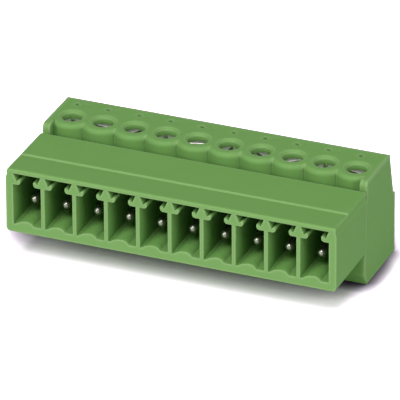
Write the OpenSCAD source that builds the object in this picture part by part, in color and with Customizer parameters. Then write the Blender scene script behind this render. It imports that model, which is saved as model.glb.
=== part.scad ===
// Pluggable terminal block with pins: a moulded shroud with round pins at the front,
// and behind it a moulded housing with a rising wire clamp and a slotted screw for each pole.
// X runs along the row, the open face looks along -Y, wires enter from +Y and the screws point
// up along +Z. The origin is under the middle of the block, and the foot stands on Z = 0.
// Depths are counted from the open face, and placed() then centres them on the origin.

/* [Row of poles] */
// Number of poles side by side
poles = 10; // [2:1:16]
// Distance from one pole to the next
pitch = 3.81; // [3.7:0.01:5.2]

/* [Pin shroud] */
// Depth of the chambers that the mating connector enters
chamber_depth = 7.4; // [6:0.1:10]
// Wall behind the chambers, which the pins pass through
back_wall = 0.8; // [0.5:0.1:1.2]
// Depth of the collar behind the back wall, which the clamp housing's tongue enters
collar_depth = 1.14; // [0.9:0.02:2]
// Thickness of the collar at its sides and underside
collar = 0.45; // [0.35:0.05:0.6]
// Height of the shroud at its open face
shroud_h = 7.78; // [6.5:0.01:10]
// Height of the shroud's underside above the foot
shroud_lift = 4.1; // [3:0.1:6]
// Wall at each end of the row
end_wall = 0.875; // [0.6:0.025:1.5]
// Divider between two chambers
divider = 0.45; // [0.35:0.05:0.7]
// Roof over the chambers
roof = 0.5; // [0.4:0.05:0.8]
// Floor under the chambers
chamber_floor = 0.95; // [0.6:0.05:1.2]
// Distance from the open face to the ridge across the roof
ridge_y = 3.87; // [2:0.01:5]
// Height of the small riser at the ridge
ridge_step = 0.17; // [0.05:0.01:0.3]
// How far each side of the roof stands back from the side below it
roof_inset = 0.12; // [0.02:0.02:0.4]
// Rounding of the roof's front and side edges
roof_edge_r = 0.25; // [0.1:0.05:0.4]
// Rounding of the two lower corners of the open face
corner_r = 0.45; // [0.1:0.05:0.8]

/* [Coding ribs] */
// Span of an anchor-shaped rib under the roof
rib_span = 2.25; // [1.6:0.05:2.6]
// Height of a rib below the roof
rib_drop = 1.35; // [1.2:0.05:1.8]
// Thickness of a rib's two arms
rib_arm = 0.42; // [0.2:0.02:0.5]
// Height of the arms' raised tips above the underside of a rib
rib_tip = 0.62; // [0.54:0.02:0.8]
// Width of the guide rib along each chamber's floor
guide_w = 2.2; // [1.6:0.05:2.4]
// Height of the guide rib
guide_h = 0.5; // [0.3:0.05:0.8]
// How far the guide rib's left edge lies from the middle of the chamber
guide_left = 1.45; // [1.2:0.05:1.6]

/* [Contact pins] */
// Height of the pins above the shroud's underside
pin_rise = 3.32; // [2.8:0.01:4]
// Diameter of a pin
pin_d = 1; // [0.8:0.05:1.2]
// How far a pin's tip lies behind the open face
pin_recess = 1.8; // [0.5:0.1:3]
// Width of the flat bar that the clamp grips
bar_w = 1.8; // [1.4:0.1:2]
// Thickness of the flat bar
bar_t = 0.8; // [0.6:0.05:1]
// Thickness of the flange between the pin and the bar
flange_t = 0.7; // [0.5:0.05:1]

/* [Wire clamps] */
// Width of a clamp cage
cage_w = 2.8; // [2.6:0.05:2.9]
// Length of a clamp cage along the wire
cage_len = 3.2; // [2.6:0.1:4]
// Sides of a clamp cage
cage_wall = 0.4; // [0.3:0.05:0.45]
// Bottom of a clamp cage, which lifts the wire
cage_floor = 0.5; // [0.4:0.05:0.8]
// Threaded top of a clamp cage
cage_nut = 1; // [0.9:0.05:1.5]
// Room for the wire under the bar with the clamp open
wire_room = 2.2; // [2:0.1:2.8]
// How far a cage rises from open to shut
cage_travel = 1.5; // [1:0.1:1.8]

/* [Clamp screws] */
// Thread diameter of a screw
thread_d = 1.9; // [1.6:0.05:2]
// Diameter of a screw head
head_d = 2.1; // [2:0.05:2.3]
// Height of a screw head
head_h = 1; // [0.8:0.05:1.2]
// Width of the screwdriver slot
slot_w = 0.4; // [0.3:0.05:0.5]
// Depth of the screwdriver slot
slot_depth = 0.45; // [0.3:0.05:0.6]

/* [Clamp housing] */
// How far each side of the housing stands back from the shroud's side
side_step = 0.2; // [0:0.05:0.3]
// Seam between the collar and the housing's front wall
seam = 0.06; // [0.02:0.02:0.2]
// How far the end pillars stand back from that wall
pillar_back = 0.5; // [0.3:0.02:0.8]
// Depth of the housing behind the front of the pillars
housing_len = 8.9; // [8.5:0.1:11]
// Depth of the flat top with the screw wells
tower_len = 7.25; // [6.5:0.05:7.8]
// Distance from the front of the pillars to the screw axes
screw_back = 3.1; // [2.9:0.05:3.5]
// Radius of the round front of a screw boss
boss_r = 2.5; // [2.3:0.05:2.6]
// Rounding of a boss's upper edge
boss_edge_r = 0.5; // [0.2:0.05:0.6]
// Depth of a screw head below the top
head_cover = 0.72; // [0.5:0.02:1.5]
// Thickness of the web under a screw head
web = 0.5; // [0.4:0.05:0.8]
// Thickness of the upright wall at each end of the boss row
pillar = 0.9; // [0.7:0.05:1.1]
// Height of the ledge on the rear face
rear_ledge = 7.4; // [6.9:0.1:8.5]
// Height of the bevel under the housing's front wall
foot_bevel = 1.3; // [0.5:0.1:2]

/* [Fits] */
// Radial clearance of a screw's thread in its cage
thread_play = 0.05; // [0.02:0.01:0.1]
// Radial clearance of a screw head in its well
head_play = 0.1; // [0.05:0.01:0.15]
// Clearance of a cage on each side of its pocket
cage_play = 0.1; // [0.05:0.01:0.12]
// Clearance between a part and the face that stops it
stop_play = 0.02; // [0.01:0.01:0.05]
// Radial clearance of a pin's root in the back wall
root_play = 0.05; // [0.02:0.01:0.1]
// Clearance of the housing's tongue inside the collar
tongue_play = 0.05; // [0.02:0.01:0.1]

/* [Hidden] */
$fn = 48;
cut = 1;             // how far a cutting shape runs past the surface it cuts
numbers = [1 : poles];
function numbered(name) = [for (n = numbers) str(name, n)];

function pole_x(n) = (n - (poles + 1) / 2) * pitch;
function arc(x, y, r, from, to, steps = 6) =
    [for (k = [0 : steps]) let (a = from + (to - from) * k / steps) [x + r * cos(a), y + r * sin(a)]];
function mirrored(half) = concat(half, [for (k = [len(half) - 1 : -1 : 0]) [-half[k][0], half[k][1]]]);

// Shroud
chamber_w = pitch - divider;
row_w = (poles - 1) * pitch + chamber_w;
shroud_w = row_w + 2 * end_wall;
seat_y = chamber_depth + back_wall;
shroud_len = seat_y + collar_depth;
shroud_top = shroud_lift + shroud_h;
roof_under = shroud_top - roof;
floor_top = shroud_lift + chamber_floor;
strip_top = shroud_top - ridge_step;
shoulder_drop = 0.75;
shoulder_h = 0.3;
recess_w = shroud_w - 2 * collar;
recess_bottom = shroud_lift + collar;
catch_h = 0.17;      // rib under the roof that clicks into the housing's tongue
catch_w = 0.4;
catch_root = 0.05;   // how deep the rib is rooted in the roof
catch_y = seat_y + collar_depth * 0.62;

// Contacts
pin_z = shroud_lift + pin_rise;
root_d = pin_d + 0.4;
bar_top = pin_z + bar_t / 2;
bar_bottom = pin_z - bar_t / 2;
flange_h = 1.7;
flange_w = cage_w + 0.4;
bar_gap = 0.1;       // between the bar and the top of the cage's window

// Clamps, at rest in the open position
lower_y = shroud_len + seam;
front_y = lower_y + pillar_back;
screw_y = front_y + screw_back;
cage_window_top = bar_top + bar_gap;
cage_top = cage_window_top + cage_nut;
cage_window_bottom = bar_bottom - wire_room;
cage_bottom = cage_window_bottom - cage_floor;
cage_window_w = cage_w - 2 * cage_wall;
cage_window_r = 0.15;
pocket_w = cage_w + 2 * cage_play;
pocket_len = cage_len + 2 * cage_play;
pocket_bottom = cage_bottom - cage_play;
pocket_top = cage_top + cage_travel + cage_play;
bar_end = screw_y + cage_len / 2;
flange_groove = 0.05;

// Screws
web_top = pocket_top + web;
head_bottom = web_top + stop_play;
head_top = head_bottom + head_h;
well_d = head_d + 2 * head_play;
well_rim_d = well_d + 0.6;
rim_h = 0.25;
hole_play = 0.1;     // radial clearance of a thread in the web
hole_d = thread_d + 2 * hole_play;
head_edge = 0.1;     // chamfer round a head
thread_tip = 0.25;   // chamfer at the end of a thread

// Housing
housing_top = head_top + head_cover;
housing_w = shroud_w - 2 * side_step;
rear_y = front_y + housing_len;
tower_rear = front_y + tower_len;
tongue_w = recess_w - 2 * tongue_play;
tongue_bottom = recess_bottom + tongue_play;
tongue_top = roof_under - tongue_play;
tongue_short = 0.1;  // how far the tongue's high part ends ahead of the roof's rear edge
tongue_end = shroud_len - tongue_short;
tongue_floor = 0.47; // under the way in, through which the clamps are slid from the front
entry_lift = tongue_bottom + tongue_floor - pocket_bottom;
entry_top = cage_top + entry_lift + cage_play;
entry_roof = 0.5;
trench_floor = entry_top + entry_roof;
trench_rear = screw_y - 0.4;
pillar_r = 0.6;
pillar_foot = 0.05;  // how far the trench floor runs ahead of the pillars' rounded front
tower_lip = 0.6;     // upright edge behind the flat top
ledge_in = 0.55;     // the sloping rear face ends this far ahead of the rear, and
ledge_rise = 0.25;   // this far above the ledge's edge
rear_r = 0.5;
catch_play = 0.03;
throat_w = cage_window_w + 0.5;
throat_len = 1.6;    // straight part of the wire funnel, behind the cage
throat_end = screw_y + pocket_len / 2 + throat_len;
mouth_gap = 0.7;     // between two neighbouring wire mouths
mouth_w = pitch - mouth_gap;
mouth_rise = 0.2;
mouth_drop = 0.7;
mark_w = 1.65;
mark_len = 0.6;
mark_depth = 0.05;
mark_y = tower_rear - 1.6;
mark_left = -0.65;
probe_d = 0.45;
probe_depth = 0.8;

module along_x(w) {
    translate([-w / 2, 0, 0]) rotate([90, 0, 90]) linear_extrude(w) children();
}

module along_y(from, to) {
    translate([0, to, 0]) rotate([90, 0, 0]) linear_extrude(to - from) children();
}

module block(x, y, z) {
    translate([x[0], y[0], z[0]]) cube([x[1] - x[0], y[1] - y[0], z[1] - z[0]]);
}

module placed() {
    translate([0, -rear_y / 2, 0]) children();
}

module at_poles() {
    for (n = numbers) translate([pole_x(n), 0, 0]) children();
}

// ---- Pin shroud ----

module shroud_side() {
    polygon(concat(
        [[0, shroud_lift]],
        arc(roof_edge_r, shroud_top - roof_edge_r, roof_edge_r, 180, 90),
        [
            [ridge_y, strip_top],
            [ridge_y + ridge_step / 2, shroud_top],
            [shroud_len, shroud_top],
            [shroud_len, shroud_lift]
        ]
    ));
}

module shroud_front() {
    side = shroud_w / 2;
    roof_side = side - roof_inset;
    polygon(mirrored(concat(
        arc(side - corner_r, shroud_lift + corner_r, corner_r, -90, 0),
        [
            [side, shroud_top - shoulder_drop - shoulder_h],
            [roof_side, shroud_top - shoulder_drop]
        ],
        arc(roof_side - roof_edge_r, shroud_top - roof_edge_r, roof_edge_r, 0, 90)
    )));
}

// Half outline of the anchor-shaped rib, from its middle outwards, below the roof
module coding_rib() {
    reach = rib_span / 2;
    bend = 0.35;
    tip = 0.24;
    stem = 0.25;
    stem_foot = stem + 0.38;
    translate([0, roof_under - rib_drop]) polygon(mirrored(concat(
        arc(reach - bend, bend, bend, -90, 0),
        [
            [reach, rib_tip],
            [reach - tip, rib_tip],
            [stem_foot, rib_arm],
            [stem, rib_drop],
            [stem, rib_drop + cut]
        ]
    )));
}

// A long slope up from the left and a shorter one down to the right
module guide_rib() {
    left = guide_w * 0.62;
    right = guide_w - left;
    left_r = (left * left + guide_h * guide_h) / (2 * guide_h);
    right_r = (right * right + guide_h * guide_h) / (2 * guide_h);
    translate([-guide_left, floor_top]) polygon(concat(
        [[0, -cut]],
        arc(left, guide_h - left_r, left_r, 90 + asin(left / left_r), 90, 8),
        arc(left, guide_h - right_r, right_r, 90, 90 - asin(right / right_r)),
        [[guide_w, -cut]]
    ));
}

module chamber() {
    along_y(-cut, chamber_depth) difference() {
        translate([-chamber_w / 2, floor_top]) square([chamber_w, roof_under - floor_top]);
        guide_rib();
        for (side = [-1, 1]) translate([side * pitch / 2, 0]) coding_rib();
    }
}

module catch_line(play = 0) {
    along_x(row_w - pitch + 2 * play) polygon([
        [catch_y - catch_w / 2 - play, roof_under + catch_root],
        [catch_y + catch_w / 2 + play, roof_under + catch_root],
        [catch_y + play, roof_under - catch_h - play],
        [catch_y - play, roof_under - catch_h - play]
    ]);
}

module pin_shroud() {
    color([0.40, 0.58, 0.31]) placed() {
        difference() {
            intersection() {
                along_x(shroud_w) shroud_side();
                along_y(0, shroud_len) shroud_front();
            }
            block([-recess_w / 2, recess_w / 2], [seat_y, shroud_len + cut],
                [recess_bottom, roof_under]);
            at_poles() chamber();
            at_poles() translate([0, seat_y + cut, pin_z]) rotate([90, 0, 0])
                cylinder(d = root_d + 2 * root_play, h = back_wall + 2 * cut);
        }
        catch_line();
    }
}

// ---- Contact pins ----

module contact_pin(n) {
    half_flange = flange_h / 2;
    dome_y = pin_recess + pin_d / 2;
    color([0.80, 0.80, 0.78]) placed() translate([pole_x(n), 0, 0]) {
        translate([0, dome_y, pin_z]) sphere(d = pin_d);
        translate([0, chamber_depth, pin_z]) rotate([90, 0, 0])
            cylinder(d = pin_d, h = chamber_depth - dome_y);
        translate([0, seat_y, pin_z]) rotate([90, 0, 0]) cylinder(d = root_d, h = back_wall);
        block([-flange_w / 2, flange_w / 2], [seat_y, seat_y + flange_t],
            [pin_z - half_flange, pin_z + half_flange]);
        block([-bar_w / 2, bar_w / 2], [seat_y + flange_t, bar_end], [bar_bottom, bar_top]);
    }
}

// ---- Wire clamps ----

module rounded(w, h, r) {
    polygon(concat(arc(w / 2 - r, h / 2 - r, r, 0, 90), arc(r - w / 2, h / 2 - r, r, 90, 180),
        arc(r - w / 2, r - h / 2, r, 180, 270), arc(w / 2 - r, r - h / 2, r, 270, 360)));
}

module clamp_cage(n) {
    h = cage_top - cage_bottom;
    window_h = cage_window_top - cage_window_bottom;
    color([0.72, 0.73, 0.74]) placed() translate([pole_x(n), 0, 0]) difference() {
        along_y(screw_y - cage_len / 2, screw_y + cage_len / 2) difference() {
            translate([0, cage_bottom + h / 2]) rounded(cage_w, h, cage_wall);
            translate([0, cage_window_bottom + window_h / 2]) rounded(cage_window_w, window_h, cage_window_r);
        }
        translate([0, screw_y, cage_window_top - cut])
            cylinder(d = thread_d + 2 * thread_play, h = cage_nut + 2 * cut);
    }
}

// ---- Clamp screws ----

module clamp_screw(n) {
    shank = head_bottom - bar_top - stop_play;
    side_h = head_h - head_edge;
    color([0.76, 0.76, 0.75]) placed() translate([pole_x(n), screw_y, head_bottom]) {
        difference() {
            union() {
                cylinder(d = head_d, h = side_h);
                translate([0, 0, side_h])
                    cylinder(d1 = head_d, d2 = head_d - 2 * head_edge, h = head_edge);
            }
            rotate(40 + 67 * n) translate([-head_d, -slot_w / 2, head_h - slot_depth])
                cube([2 * head_d, slot_w, slot_depth + cut]);
        }
        translate([0, 0, thread_tip - shank]) cylinder(d = thread_d, h = shank - thread_tip);
        translate([0, 0, -shank])
            cylinder(d1 = thread_d - 2 * thread_tip, d2 = thread_d, h = thread_tip);
    }
}

// ---- Clamp housing ----

// From the foot up the front wall, and over the end pillars to the rear
module housing_side() {
    polygon(concat(
        [
            [lower_y + foot_bevel / 2, 0],
            [lower_y, foot_bevel],
            [lower_y, trench_floor],
            [front_y - pillar_foot, trench_floor]
        ],
        arc(front_y + pillar_r, housing_top - pillar_r, pillar_r, 180, 90),
        [
            [tower_rear, housing_top],
            [tower_rear, housing_top - tower_lip],
            [rear_y - ledge_in, rear_ledge + ledge_rise],
            [rear_y, rear_ledge]
        ],
        arc(rear_y - rear_r, rear_r, rear_r, 0, -90)
    ));
}

// The part that enters the shroud's collar, lower where it comes out behind the roof
module tongue() {
    along_x(tongue_w) polygon([
        [seat_y, tongue_bottom],
        [seat_y, tongue_top],
        [tongue_end, tongue_top],
        [tongue_end, trench_floor],
        [lower_y + cut, trench_floor],
        [lower_y + cut, tongue_bottom]
    ]);
}

module boss() {
    top_r = boss_r - boss_edge_r;
    rotate_extrude() polygon(concat(
        [[0, trench_floor - cut], [boss_r, trench_floor - cut]],
        arc(top_r, housing_top - boss_edge_r, boss_edge_r, 0, 90),
        [[top_r, housing_top + 2 * cut], [0, housing_top + 2 * cut]]
    ));
}

// Space in front of the row of screw bosses, between the two end pillars
module boss_trench() {
    half = housing_w / 2 - pillar;
    difference() {
        block([-half, half], [front_y - cut, trench_rear], [trench_floor, housing_top + cut]);
        at_poles() translate([0, screw_y, 0]) boss();
    }
}

module screw_well() {
    translate([0, screw_y, web_top]) cylinder(d = well_d, h = housing_top - web_top + cut);
    translate([0, screw_y, housing_top - rim_h]) cylinder(d1 = well_d, d2 = well_rim_d, h = rim_h);
    translate([0, screw_y, pocket_top - cut]) cylinder(d = hole_d, h = web + 2 * cut);
}

module cage_pocket() {
    front = screw_y - pocket_len / 2;
    half_groove = flange_w / 2 + flange_groove;
    groove_h = flange_h / 2 + flange_groove;
    block([-pocket_w / 2, pocket_w / 2], [front, front + pocket_len], [pocket_bottom, pocket_top]);
    block([-pocket_w / 2, pocket_w / 2], [seat_y - cut, front + cut],
        [pocket_bottom + entry_lift, entry_top]);
    block([-half_groove, half_groove], [seat_y - cut, seat_y + flange_t],
        [pin_z - groove_h, pin_z + groove_h]);
}

// Rectangular funnel that leads a wire into the cage
module wire_funnel() {
    start = screw_y;
    end = rear_y + cut;
    flare = (mouth_w - throat_w) / 2 / (rear_y - throat_end);
    out = (end - throat_end) * flare;
    high = bar_bottom;
    low = cage_window_bottom;
    rise = mouth_rise * (end - throat_end) / (rear_y - throat_end);
    drop = mouth_drop * (end - throat_end) / (rear_y - throat_end);
    intersection() {
        translate([0, 0, low - 2 * cut]) linear_extrude(high - low + 4 * cut) polygon([
            [-throat_w / 2, start], [throat_w / 2, start], [throat_w / 2, throat_end],
            [throat_w / 2 + out, end], [-throat_w / 2 - out, end], [-throat_w / 2, throat_end]
        ]);
        along_x(pitch) polygon([
            [start, low], [start, high], [throat_end, high], [end, high + rise],
            [end, low - drop], [throat_end, low]
        ]);
    }
}

// Shallow field for a marker, with a small probe hole at its left end
module marker_field() {
    block([mark_left, mark_left + mark_w], [mark_y, mark_y + mark_len],
        [housing_top - mark_depth, housing_top + cut]);
    translate([mark_left, mark_y + mark_len / 2, housing_top - probe_depth])
        cylinder(d = probe_d, h = probe_depth + cut);
}

module clamp_housing() {
    color([0.41, 0.58, 0.34]) placed() difference() {
        union() {
            along_x(housing_w) housing_side();
            tongue();
        }
        boss_trench();
        at_poles() screw_well();
        at_poles() cage_pocket();
        at_poles() wire_funnel();
        at_poles() marker_field();
        catch_line(catch_play);
    }
}

pin_shroud();
clamp_housing();
for (n = numbers) {
    contact_pin(n);
    clamp_cage(n);
    clamp_screw(n);
}
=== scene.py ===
# %% [markdown]
# # A ten-pole pluggable terminal block
# Two green mouldings hold ten tinned contacts, ten wire clamps and ten slotted screws.
# The engineering model gives every one of those parts its true shape and place, so this lesson
# starts from it and adds what makes the block look moulded, plated and lit. Lengths are in
# metres. X runs along the row, the open plug face looks along -Y and the screws point up.

# %% Load the block
import math

import bmesh
import bpy
from mathutils import Matrix, Quaternion, Vector


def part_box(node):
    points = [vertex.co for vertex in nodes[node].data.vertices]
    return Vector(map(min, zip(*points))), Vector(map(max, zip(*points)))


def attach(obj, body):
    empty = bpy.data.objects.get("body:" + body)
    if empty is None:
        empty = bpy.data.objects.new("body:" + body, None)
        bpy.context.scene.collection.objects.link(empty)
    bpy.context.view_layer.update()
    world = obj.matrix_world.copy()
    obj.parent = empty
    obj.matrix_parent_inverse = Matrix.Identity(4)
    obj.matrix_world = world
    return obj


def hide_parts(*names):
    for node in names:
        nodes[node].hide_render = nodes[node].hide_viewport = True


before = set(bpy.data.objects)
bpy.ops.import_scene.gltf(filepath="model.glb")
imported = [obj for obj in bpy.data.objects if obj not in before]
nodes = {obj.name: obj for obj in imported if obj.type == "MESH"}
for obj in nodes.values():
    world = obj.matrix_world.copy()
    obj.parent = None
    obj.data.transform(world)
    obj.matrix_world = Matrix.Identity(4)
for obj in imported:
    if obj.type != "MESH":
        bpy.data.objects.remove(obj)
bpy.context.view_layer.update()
MM = 0.001
print("parts loaded:", len(nodes))

# %% [markdown]
# ## The row of parts
# Each kind of part stands ten times along the row, so the parts are sorted by their number once
# and then handled as lists. Places are read from the parts' own boxes and nothing is typed in
# twice: if the block grew, what is built on it would grow with it.

# %% Measure the row
def numbered(kind):
    """The names of one kind of part, in order along the row."""
    found = [name for name in nodes if name.startswith(kind)]
    return sorted(found, key=lambda name: int(name.rsplit("_", 1)[1]))


screws = numbered("clamp_screw_")
pins = numbered("contact_pin_")
cages = numbered("clamp_cage_")
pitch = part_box(screws[1])[0].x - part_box(screws[0])[0].x
print("poles:", len(screws), "pitch in mm:", round(pitch / MM, 3))

# %% [markdown]
# ## The camera
# Small parts are shot from far away with a long lens, which keeps parallel edges nearly
# parallel. The camera stands to the right of the open face and looks down on the block. A small
# turn about its own axis sets the horizon.

# %% Place the camera
AZIMUTH = math.radians(22.32)
ELEVATION = math.radians(27.66)
ROLL = math.radians(-0.28)
LOOK_AT = Vector((0.37, -1.4, 7.86)) * MM
DISTANCE = 0.6882
LENS = 556.5
SENSOR_WIDTH = 36


def direction(azimuth, elevation):
    """Unit vector towards a place round the block; azimuth 0 is straight in front of it."""
    flat = math.cos(elevation)
    return Vector((math.sin(azimuth) * flat, -math.cos(azimuth) * flat, math.sin(elevation)))


back = direction(AZIMUTH, ELEVATION)
camera_data = bpy.data.cameras.new("studio_camera")
camera_data.lens = LENS
camera_data.sensor_width = SENSOR_WIDTH
camera_data.clip_start = 0.01
camera_data.clip_end = 10
camera = bpy.data.objects.new("studio_camera", camera_data)
camera.location = LOOK_AT + back * DISTANCE
camera.rotation_mode = "QUATERNION"
camera.rotation_quaternion = (-back).to_track_quat("-Z", "Y") @ Quaternion((0, 0, 1), ROLL)
bpy.context.scene.collection.objects.link(camera)
bpy.context.scene.camera = camera
print("camera at", [round(v, 3) for v in camera.location])

# %% [markdown]
# ## Helpers for materials
# A material is a small graph of nodes. Short helpers keep the graphs readable. One makes any
# node and fills in its settings. Three more make the nodes that every graph needs again and
# again, Math, Mix and Map Range, and join them to the nodes that feed them.

# %% Make node helpers
def new_material(name):
    material = bpy.data.materials.new(name)
    material.use_nodes = True
    material.node_tree.nodes.clear()
    return material, material.node_tree


def add(tree, kind, inputs=None, **settings):
    """Adds a node, sets its plain inputs and its settings, and returns it."""
    node = tree.nodes.new(kind)
    for key, value in settings.items():
        setattr(node, key, value)
    for key, value in (inputs or {}).items():
        node.inputs[key].default_value = value
    return node


def math_node(tree, operation, a, b=0.0, c=0.0):
    """A Math node whose inputs are numbers or the outputs of other nodes."""
    node = add(tree, "ShaderNodeMath", operation=operation)
    for socket, value in zip(node.inputs, (a, b, c)):
        if isinstance(value, bpy.types.NodeSocket):
            tree.links.new(value, socket)
        else:
            socket.default_value = value
    return node.outputs["Value"]


def mixed(tree, factor, first, second):
    """A colour that goes from the first to the second as the factor goes from 0 to 1."""
    node = add(tree, "ShaderNodeMix", data_type="RGBA")
    for name, value in (("Factor", factor), ("A", first), ("B", second)):
        if isinstance(value, bpy.types.NodeSocket):
            tree.links.new(value, node.inputs[name])
        else:
            node.inputs[name].default_value = value
    return node.outputs["Result"]


def ranged(tree, value, from_low, from_high, to_low=0.0, to_high=1.0):
    """Another node's value, stretched from one range to another and held inside it."""
    node = add(tree, "ShaderNodeMapRange", {"From Min": from_low, "From Max": from_high,
                                            "To Min": to_low, "To Max": to_high})
    tree.links.new(value, node.inputs["Value"])
    return node.outputs["Result"]


def srgb(red, green, blue):
    """A colour given as 0 to 255 on a screen, as the linear colour that shaders use."""
    def linear(v):
        v = v / 255
        return v / 12.92 if v <= 0.04045 else ((v + 0.055) / 1.055) ** 2.4
    return (linear(red), linear(green), linear(blue), 1.0)


# %% [markdown]
# ## Soft edges
# No moulded or stamped edge is truly sharp. The Bevel node bends the normal near an edge, so
# that it catches light as a small round would. Where that normal leans away from the true one,
# there is an edge: the difference makes a mask for a painted highlight that lightens edges. A
# second Bevel node with a longer reach gives a mask that also covers thin walls, where painted
# light stands for a little light passing through. Both would mark inner corners too, where no
# highlight falls and nothing shines through, so each mask is multiplied by one from the Ambient
# Occlusion node, which falls to 0 in a crevice. More than one finish needs these masks, so they
# are a node group.

# %% Build the soft edge group
EDGE_RADIUS = 0.1 * MM
CREVICE_REACH = 3.0
CREVICE_TO_OPEN = (0.5, 0.85)
LEAN_AT_EDGE = 0.8
LEAN_AT_START = {"Edge": 0.995, "Thin": 1.0}


def soft_edge_group():
    group = bpy.data.node_groups.new("Soft edge", "ShaderNodeTree")
    face = group.interface
    for name in ("Radius", "Reach"):
        socket = face.new_socket(name, in_out="INPUT", socket_type="NodeSocketFloat")
        socket.default_value = EDGE_RADIUS
    face.new_socket("Normal", in_out="OUTPUT", socket_type="NodeSocketVector")
    for name in ("Edge", "Thin"):
        face.new_socket(name, in_out="OUTPUT", socket_type="NodeSocketFloat")
    start = add(group, "NodeGroupInput")
    end = add(group, "NodeGroupOutput")
    surface = add(group, "ShaderNodeNewGeometry")
    open_air = add(group, "ShaderNodeAmbientOcclusion", samples=8)
    around = math_node(group, "MULTIPLY", start.outputs["Radius"], CREVICE_REACH)
    group.links.new(around, open_air.inputs["Distance"])
    convex = ranged(group, open_air.outputs["AO"], *CREVICE_TO_OPEN)
    for size, name in (("Radius", "Edge"), ("Reach", "Thin")):
        bevel = add(group, "ShaderNodeBevel", samples=6)
        group.links.new(start.outputs[size], bevel.inputs["Radius"])
        lean = add(group, "ShaderNodeVectorMath", operation="DOT_PRODUCT")
        group.links.new(bevel.outputs["Normal"], lean.inputs[0])
        group.links.new(surface.outputs["True Normal"], lean.inputs[1])
        mask = ranged(group, lean.outputs["Value"], LEAN_AT_START[name], LEAN_AT_EDGE)
        group.links.new(math_node(group, "MULTIPLY", mask, convex), end.inputs[name])
        if name == "Edge":
            group.links.new(bevel.outputs["Normal"], end.inputs["Normal"])
    return group


SOFT_EDGE = soft_edge_group()
print("soft edge group:", len(SOFT_EDGE.nodes), "nodes")

# %% [markdown]
# ## Mottle and grain
# Moulded nylon is never one flat green: the melt leaves faint clouds, and the spark-eroded tool
# leaves a fine grain. Plated metal has the same two scales. The group gives a cloud value that
# moves a colour or a roughness a little, and a height for a Bump node.

# %% Build the grain group
def grain_group():
    group = bpy.data.node_groups.new("Mottle and grain", "ShaderNodeTree")
    face = group.interface
    for name, start_value in (("Clouds", 300.0), ("Grain", 9000.0), ("Stretch", 1.0)):
        socket = face.new_socket(name, in_out="INPUT", socket_type="NodeSocketFloat")
        socket.default_value = start_value
    face.new_socket("Cloud", in_out="OUTPUT", socket_type="NodeSocketFloat")
    face.new_socket("Height", in_out="OUTPUT", socket_type="NodeSocketFloat")
    start = add(group, "NodeGroupInput")
    end = add(group, "NodeGroupOutput")
    place = add(group, "ShaderNodeTexCoord")
    scale = add(group, "ShaderNodeCombineXYZ", {"X": 1.0, "Z": 1.0})
    group.links.new(start.outputs["Stretch"], scale.inputs["Y"])
    laid = add(group, "ShaderNodeVectorMath", operation="MULTIPLY")
    group.links.new(place.outputs["Object"], laid.inputs[0])
    group.links.new(scale.outputs["Vector"], laid.inputs[1])
    clouds = add(group, "ShaderNodeTexNoise", {"Detail": 3.0, "Roughness": 0.55})
    grain = add(group, "ShaderNodeTexNoise", {"Detail": 2.0, "Roughness": 0.6})
    for noise, name in ((clouds, "Clouds"), (grain, "Grain")):
        group.links.new(laid.outputs["Vector"], noise.inputs["Vector"])
        group.links.new(start.outputs[name], noise.inputs["Scale"])
    group.links.new(clouds.outputs["Fac"], end.inputs["Cloud"])
    group.links.new(grain.outputs["Fac"], end.inputs["Height"])
    return group


GRAIN = grain_group()
print("grain group:", len(GRAIN.nodes), "nodes")

# %% [markdown]
# ## What every finish shares
# Nylon, tin and zinc differ in their colours and numbers, but all of them are one Principled
# shader with a soft edge and a grain. These helpers place a group with its own values, make
# the grained normal, and close a material.

# %% Make finish helpers
def place_group(tree, group, **values):
    node = add(tree, "ShaderNodeGroup")
    node.node_tree = group
    for name, value in values.items():
        node.inputs[name].default_value = value
    return node


def grained_normal(tree, edge, grain, strength, depth):
    """The soft edge's normal with the fine grain raised on it."""
    bump = add(tree, "ShaderNodeBump", {"Strength": strength, "Distance": depth})
    tree.links.new(grain.outputs["Height"], bump.inputs["Height"])
    tree.links.new(edge.outputs["Normal"], bump.inputs["Normal"])
    return bump.outputs["Normal"]


def close_material(tree, numbers, colour, roughness, normal):
    """The shader: its plain numbers are set on its sockets, its patterns are linked."""
    shader = add(tree, "ShaderNodeBsdfPrincipled", numbers)
    patterns = (("Base Color", colour), ("Roughness", roughness), ("Normal", normal))
    for name, pattern in patterns:
        tree.links.new(pattern, shader.inputs[name])
    end = add(tree, "ShaderNodeOutputMaterial")
    tree.links.new(shader.outputs["BSDF"], end.inputs["Surface"])


# %% [markdown]
# ## The green nylon
# The block is moulded in a mid green with a dull satin face. Two close greens are mixed by the
# clouds. A paler green is painted on as highlight: on edges, on thin walls as light that shines
# through them, and as a sheen on the flat edges of the open face, where the light falls most.
# The two mouldings get one recipe with their own values: the shroud's edges are crisp, while
# the housing's bosses have rounder lips with a stronger painted highlight.

# %% Make the green nylon
# The paler green of the painted highlight, and how strongly it lies on the open face and edges.
SHEEN_DEPTH = 0.15 * MM
FRONT_SHEEN = 0.2
EDGE_HIGHLIGHT = 0.7
NYLON_GREENS = (srgb(104, 150, 77), srgb(110, 156, 83))
HIGHLIGHT_GREEN = srgb(146, 178, 122)
NYLON_ROUGHNESS = (0.5, 0.62)


def front_face_sheen(tree):
    """1 on the flat edges of the open face, which take a painted sheen, and 0 behind them."""
    place = add(tree, "ShaderNodeTexCoord")
    axes = add(tree, "ShaderNodeSeparateXYZ")
    tree.links.new(place.outputs["Object"], axes.inputs["Vector"])
    face_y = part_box("pin_shroud")[0].y
    return ranged(tree, axes.outputs["Y"], face_y + SHEEN_DEPTH, face_y)


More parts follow.
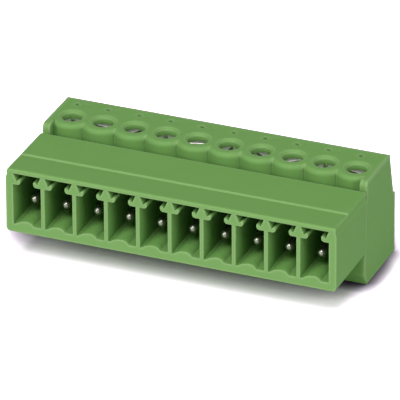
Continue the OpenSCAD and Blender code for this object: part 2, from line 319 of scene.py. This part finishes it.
def painted_highlight(tree, edge, thin_glow):
    """0 where the green is full, up to 1 on edges, thin walls and the open face: painted
    highlight.
    """
    painted_edge_light = math_node(tree, "MULTIPLY", edge.outputs["Edge"], EDGE_HIGHLIGHT)
    paler = math_node(tree, "MULTIPLY_ADD", edge.outputs["Thin"], thin_glow, painted_edge_light)
    paler = math_node(tree, "MULTIPLY_ADD", front_face_sheen(tree), FRONT_SHEEN, paler)
    return math_node(tree, "MINIMUM", paler, 1.0)


def green_nylon(name, radius, reach, thin_glow):
    material, tree = new_material(name)
    edge = place_group(tree, SOFT_EDGE, Radius=radius, Reach=reach)
    grain = place_group(tree, GRAIN, Clouds=260.0, Grain=9000.0)
    body = mixed(tree, grain.outputs["Cloud"], *NYLON_GREENS)
    colour = mixed(tree, painted_highlight(tree, edge, thin_glow), body, HIGHLIGHT_GREEN)
    roughness = ranged(tree, grain.outputs["Cloud"], 0.0, 1.0, *NYLON_ROUGHNESS)
    normal = grained_normal(tree, edge, grain, strength=0.25, depth=0.012 * MM)
    numbers = {"IOR": 1.5, "Specular IOR Level": 0.12}
    close_material(tree, numbers, colour, roughness, normal)
    return material


shroud_nylon = green_nylon("shroud_nylon", 0.13 * MM, 0.5 * MM, thin_glow=0.6)
housing_nylon = green_nylon("housing_nylon", 0.3 * MM, 0.9 * MM, thin_glow=0.85)
print("nylons:", shroud_nylon.name, housing_nylon.name)

# %% [markdown]
# ## Tinned and plated metal
# The contacts are drawn wire and strip under dull tin, so their fine lines run along Y. The
# cages and screws are steel under zinc, which is greyer and has short, even grain. One function
# makes all three from two tones, a roughness and the stretch of the grain.

# %% Make the metals
ROUGHNESS_SPREAD = 0.07


def plated_metal(name, tone, dark, rough, stretch=1.0):
    material, tree = new_material(name)
    edge = place_group(tree, SOFT_EDGE, Radius=0.05 * MM)
    grain = place_group(tree, GRAIN, Clouds=900.0, Grain=14000.0, Stretch=stretch)
    colour = mixed(tree, grain.outputs["Cloud"], dark, tone)
    roughness = ranged(tree, grain.outputs["Height"], 0.0, 1.0,
                       rough - ROUGHNESS_SPREAD, rough + ROUGHNESS_SPREAD)
    normal = grained_normal(tree, edge, grain, strength=0.3, depth=0.004 * MM)
    close_material(tree, {"Metallic": 1.0}, colour, roughness, normal)
    return material


tin = plated_metal("dull_tin", srgb(172, 170, 162), srgb(146, 143, 135), 0.33, stretch=0.08)
zinc = plated_metal("zinc_plate", srgb(200, 201, 203), srgb(168, 170, 173), 0.36)
screw_zinc = plated_metal("screw_zinc", srgb(178, 178, 173), srgb(150, 150, 146), 0.42)
print("metals:", tin.name, zinc.name, screw_zinc.name)

# %% [markdown]
# ## Dressing the parts
# The mouldings, contacts and cages already have their true shape, so they keep their meshes and
# only get a finish.

# %% Dress the parts
def dress(names, material):
    for name in names:
        part = nodes[name]
        part.data.materials.clear()
        part.data.materials.append(material)


dress(["pin_shroud"], shroud_nylon)
dress(["clamp_housing"], housing_nylon)
dress(pins, tin)
dress(cages, zinc)
print("dressed parts:", len(nodes) - len(screws))

# %% [markdown]
# ## The head of a clamp screw
# The engineering model keeps each screw as plain cylinders with a slot. The real one is a
# turned and rolled part, and the rims of its head and slot are rounded. The head is easiest
# from a disc. Two cuts split the disc into a strip and two side pieces, all three are raised to
# the floor of the slot, and then only the side pieces are raised to the top, so the slot is
# never cut out of anything. The faces that the second rise starts from would stay inside the
# head as stray walls, so they are deleted. Where a bevel is held back by a short edge, it
# leaves two points in one place, and these are merged.

# %% Shape the screw head
HEAD_HEIGHT = 1.0 * MM
HEAD_ROUND = 0.1 * MM
HEAD_SIDES = 40
SLOT_WIDTH = 0.4 * MM
SLOT_DEPTH = 0.45 * MM
TINY = 1e-7


def soften(mesh, edges, width, segments):
    """Rounds edges with a bevel and merges points that it has left in one place."""
    bmesh.ops.bevel(mesh, geom=edges, offset=width, offset_type="OFFSET", segments=segments,
                    profile=0.5, affect="EDGES", clamp_overlap=True, material=-1)
    bmesh.ops.remove_doubles(mesh, verts=mesh.verts[:], dist=TINY)


def raise_faces(mesh, faces, height, keep_below=False):
    """Extrudes flat faces upwards and returns the new upper faces."""
    made = bmesh.ops.extrude_face_region(mesh, geom=faces)["geom"]
    upper = [item for item in made if isinstance(item, bmesh.types.BMFace)]
    verts = [item for item in made if isinstance(item, bmesh.types.BMVert)]
    bmesh.ops.translate(mesh, verts=verts, vec=(0, 0, height))
    if not keep_below:
        bmesh.ops.delete(mesh, geom=faces, context="FACES_ONLY")
    return upper


def screw_head(mesh, radius):
    """A slotted head on Z = 0, with the slot along X."""
    bmesh.ops.create_circle(mesh, cap_ends=True, radius=radius, segments=HEAD_SIDES)
    for side in (-1, 1):
        bmesh.ops.bisect_plane(mesh, geom=mesh.verts[:] + mesh.edges[:] + mesh.faces[:],
                               plane_co=(0, side * SLOT_WIDTH / 2, 0), plane_no=(0, 1, 0))
    floor_level = raise_faces(mesh, mesh.faces[:], HEAD_HEIGHT - SLOT_DEPTH, keep_below=True)
    sides = [face for face in floor_level if abs(face.calc_center_median().y) > SLOT_WIDTH / 2]
    top = raise_faces(mesh, sides, SLOT_DEPTH)
    bmesh.ops.recalc_face_normals(mesh, faces=mesh.faces[:])
    soften(mesh, list({edge for face in top for edge in face.edges}), HEAD_ROUND, segments=3)


# %% [markdown]
# ## The thread
# The shank is a core with a fine right-hand thread rolled on it, and a tapered tip that finds
# the cage's hole. A thread is easiest as one section, here a low wedge with a narrow crest,
# that is spun round the axis and lifted a little at each step. Its foot is sunk into the core.
# Half the wedge's height at its foot and at its crest, and the place where it starts above the
# tip, are given as shares of the thread's pitch.

# %% Roll the thread
THREAD_PITCH = 0.4 * MM
THREAD_DEPTH = 0.24 * MM
THREAD_STEPS = 24
THREAD_FOOT = 0.46
THREAD_CREST = 0.06
THREAD_START = 0.7
ROOT_OVERLAP = 0.03 * MM
TIP_TAPER = 0.15 * MM


def screw_shank(mesh, radius, length):
    """A core with a tapered tip, and one long ridge wound round it, below Z = 0."""
    core = radius - THREAD_DEPTH
    made = bmesh.ops.create_cone(mesh, cap_ends=True, segments=THREAD_STEPS, radius1=core,
                                 radius2=core, depth=length)
    bmesh.ops.translate(mesh, verts=made["verts"], vec=(0, 0, -length / 2))
    low = min(vert.co.z for vert in made["verts"])
    tip = [edge for edge in mesh.edges if all(abs(v.co.z - low) < TINY for v in edge.verts)]
    soften(mesh, tip, TIP_TAPER, segments=2)
    inner = core - ROOT_OVERLAP
    outline = ((inner, -THREAD_FOOT), (radius, -THREAD_CREST),
               (radius, THREAD_CREST), (inner, THREAD_FOOT))
    start = low + THREAD_START * THREAD_PITCH
    corners = [mesh.verts.new((x, 0, start + up * THREAD_PITCH)) for x, up in outline]
    ridge = mesh.faces.new(corners)
    turns = (length - 2 * THREAD_PITCH) / THREAD_PITCH
    steps = int(turns * THREAD_STEPS)
    bmesh.ops.spin(mesh, geom=[ridge] + list(ridge.edges) + corners, cent=(0, 0, 0),
                   axis=(0, 0, 1), dvec=(0, 0, THREAD_PITCH / THREAD_STEPS), steps=steps,
                   angle=2 * math.pi * steps / THREAD_STEPS, use_duplicate=False)
    bmesh.ops.recalc_face_normals(mesh, faces=mesh.faces[:])


# %% [markdown]
# ## The ten screws
# Each screw takes its place and size from the plain one that it stands for, and rides on the
# same body, so it turns with that body's joint. Screws are never left with their slots in line,
# so each one starts at its own angle.

# %% Place a screw for each pole
HEAD_OVERHANG = 0.1 * MM
FIRST_ANGLE = 40
NEXT_ANGLE = 67


def slotted_screw(name):
    number = int(name.rsplit("_", 1)[1])
    low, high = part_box(name)
    radius = (high.x - low.x) / 2
    mesh = bmesh.new()
    screw_head(mesh, radius)
    screw_shank(mesh, radius - HEAD_OVERHANG, high.z - low.z - HEAD_HEIGHT)
    turn = Matrix.Rotation(math.radians(FIRST_ANGLE + NEXT_ANGLE * number), 4, "Z")
    seat = Matrix.Translation(((low.x + high.x) / 2, (low.y + high.y) / 2, high.z - HEAD_HEIGHT))
    bmesh.ops.transform(mesh, matrix=seat @ turn, verts=mesh.verts[:])
    data = bpy.data.meshes.new(f"slotted_screw_{number}")
    mesh.to_mesh(data)
    mesh.free()
    data.materials.append(screw_zinc)
    piece = bpy.data.objects.new(data.name, data)
    bpy.context.scene.collection.objects.link(piece)
    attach(piece, f"screw_{number}")
    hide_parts(name)
    return piece


slotted = [slotted_screw(name) for name in screws]
print("slotted screws:", len(slotted), "faces each:", len(slotted[0].data.polygons))

# %% [markdown]
# ## The shade round the foot
# The block stands on a white sweep. Close to it the floor is shut off from the sky, so there a
# painted shade takes its tone down to a dark grey. The wide, soft part of that painted shade is
# a patch that follows the outline of the foot. On each side it starts at one place and has ended
# at another, both given in millimetres from the block's middle. A Color Ramp gives the tone for
# each share of that way.

# %% Draw the foot patch
FOOT_PATCH = {
    "left": (-19.7, -25.0),
    "right": (13.5, 22.9),
    "front": (2.5, -6.7),
    "rear": (3.8, 10.6),
}
PATCH_TONES = (
    (0.0, 0.2),
    (0.5, 0.15),
    (0.62, 0.3),
    (0.71, 0.41),
    (0.85, 0.72),
    (1.0, 0.87),
    (1.2, 1.0),
)


def foot_patch(tree, place):
    """1 on the open floor, falling to a dark tone under and close round the foot."""
    axes = add(tree, "ShaderNodeSeparateXYZ")
    tree.links.new(place, axes.inputs["Vector"])
    reach = {}
    for side, (start, end) in FOOT_PATCH.items():
        axis = axes.outputs["X" if side in ("left", "right") else "Y"]
        reach[side] = ranged(tree, axis, start * MM, end * MM)
    across = math_node(tree, "MAXIMUM", reach["left"], reach["right"])
    along = math_node(tree, "MAXIMUM", reach["front"], reach["rear"])
    both = add(tree, "ShaderNodeCombineXYZ")
    tree.links.new(across, both.inputs["X"])
    tree.links.new(along, both.inputs["Y"])
    distance = add(tree, "ShaderNodeVectorMath", operation="LENGTH")
    tree.links.new(both.outputs["Vector"], distance.inputs[0])
    full_way = PATCH_TONES[-1][0]
    ramp = add(tree, "ShaderNodeValToRGB")
    stops = ramp.color_ramp.elements
    while len(stops) < len(PATCH_TONES):
        stops.new(1.0)
    for stop, (share, tone) in zip(stops, PATCH_TONES):
        stop.position = share / full_way
        stop.color = (tone, tone, tone, 1)
    tree.links.new(math_node(tree, "DIVIDE", distance.outputs["Value"], full_way),
                   ramp.inputs["Fac"])
    return ramp.outputs["Color"]


# %% [markdown]
# ## The floor
# To the lamps and to the block the floor is a plain pale grey, so it throws no extra light
# upwards. Only the camera gets another colour from it. The lit part is lifted to clean white,
# and more so far away, where the lamps reach it less. The shaded part takes a cool dark tone
# from the foot patch, multiplied by the Ambient Occlusion node, which finds the last two
# millimetres beside the walls. Together they give the tight contact shadow that a small block
# has on a white table, and the lamps' own shadows stay under it.

# %% Lay the floor
FLOOR_SIZE = 2.0
CONTACT_REACH = 2 * MM
CONTACT_POWER = 3.0
SHADED_TONE = (0.03, 0.01, 0.05, 1)
LIT_TONE = (2.8, 2.46, 2.9, 1)
FAR_FLOOR = (60 * MM, 300 * MM)
FAR_GAIN = 2.5
FLOOR_GREY = 0.8
MIRRORED_WHITE = 1.0


def seen_tone(tree):
    """The floor's colour for the camera: dark at the block, white around it and far away."""
    place = add(tree, "ShaderNodeTexCoord").outputs["Object"]
    open_sky = add(tree, "ShaderNodeAmbientOcclusion", {"Distance": CONTACT_REACH}, samples=16)
    contact = math_node(tree, "POWER", open_sky.outputs["AO"], CONTACT_POWER)
    # Painted shadow: the contact shade and the foot patch darken the floor's colour for the
    # camera.
    open_floor = math_node(tree, "MULTIPLY", contact, foot_patch(tree, place))
    away = add(tree, "ShaderNodeVectorMath", operation="LENGTH")
    tree.links.new(place, away.inputs[0])
    lifted = add(tree, "ShaderNodeVectorMath", operation="SCALE")
    tree.links.new(mixed(tree, open_floor, SHADED_TONE, LIT_TONE), lifted.inputs[0])
    tree.links.new(ranged(tree, away.outputs["Value"], *FAR_FLOOR, 1.0, FAR_GAIN),
                   lifted.inputs["Scale"])
    return lifted.outputs["Vector"]


def white_floor():
    material, tree = new_material("studio_floor")
    ray = add(tree, "ShaderNodeLightPath")
    seen = math_node(tree, "MAXIMUM", ray.outputs["Is Camera Ray"],
                     ray.outputs["Is Transmission Ray"])
    unseen = ranged(tree, ray.outputs["Is Glossy Ray"], 0.0, 1.0, FLOOR_GREY, MIRRORED_WHITE)
    shader = add(tree, "ShaderNodeBsdfDiffuse")
    tree.links.new(mixed(tree, seen, unseen, seen_tone(tree)), shader.inputs["Color"])
    end = add(tree, "ShaderNodeOutputMaterial")
    tree.links.new(shader.outputs["BSDF"], end.inputs["Surface"])
    return material


floor_mesh = bmesh.new()
bmesh.ops.create_grid(floor_mesh, x_segments=1, y_segments=1, size=FLOOR_SIZE)
floor_data = bpy.data.meshes.new("studio_floor")
floor_mesh.to_mesh(floor_data)
floor_mesh.free()
floor = bpy.data.objects.new("studio_floor", floor_data)
floor.data.materials.append(white_floor())
bpy.context.scene.collection.objects.link(floor)
print("floor:", [round(v, 2) for v in floor.dimensions])

# %% [markdown]
# ## Light
# A lamp's energy is given as the level at which it lights a white card that faces it: 1 would
# show the card white. An area lamp of power P at distance d gives P / (pi d)^2. Three wide
# discs give soft light: a top lamp high in front, which is the strongest and lights the roof
# and the bosses, a key low on the left, which reaches into the chambers, and a fill low on the
# right, which opens up the end face. A weak even sky does the rest, though the camera and the
# metal see it as white.

# %% Light the block
LAMP_DISTANCE = 0.9
SKY_LEVEL = 0.19
SEEN_SKY = 1.0


def area_lamp(name, azimuth, elevation, size, level):
    data = bpy.data.lights.new(name, "AREA")
    data.shape = "DISK"
    data.size = size
    data.energy = level * (math.pi * LAMP_DISTANCE) ** 2
    lamp = bpy.data.objects.new(name, data)
    towards = direction(math.radians(azimuth), math.radians(elevation))
    lamp.location = towards * LAMP_DISTANCE
    lamp.rotation_mode = "QUATERNION"
    lamp.rotation_quaternion = (-towards).to_track_quat("-Z", "Y")
    bpy.context.scene.collection.objects.link(lamp)
    print(name, "lamp at", [round(v, 2) for v in lamp.location])


area_lamp("key", azimuth=-38, elevation=20, size=0.42, level=0.34)
area_lamp("top", azimuth=8, elevation=58, size=0.5, level=0.7)
area_lamp("fill", azimuth=66, elevation=17, size=0.5, level=0.34)

world = bpy.data.worlds.new("studio_sky")
world.use_nodes = True
sky = world.node_tree
sky.nodes.clear()
ray = add(sky, "ShaderNodeLightPath")
seen = math_node(sky, "MAXIMUM", ray.outputs["Is Camera Ray"], ray.outputs["Is Glossy Ray"])
seen = math_node(sky, "MAXIMUM", seen, ray.outputs["Is Transmission Ray"])
light = add(sky, "ShaderNodeBackground")
sky.links.new(ranged(sky, seen, 0.0, 1.0, SKY_LEVEL, SEEN_SKY), light.inputs["Strength"])
sky_end = add(sky, "ShaderNodeOutputWorld")
sky.links.new(light.outputs["Background"], sky_end.inputs["Surface"])
bpy.context.scene.world = world
bpy.context.scene.view_settings.view_transform = "Standard"
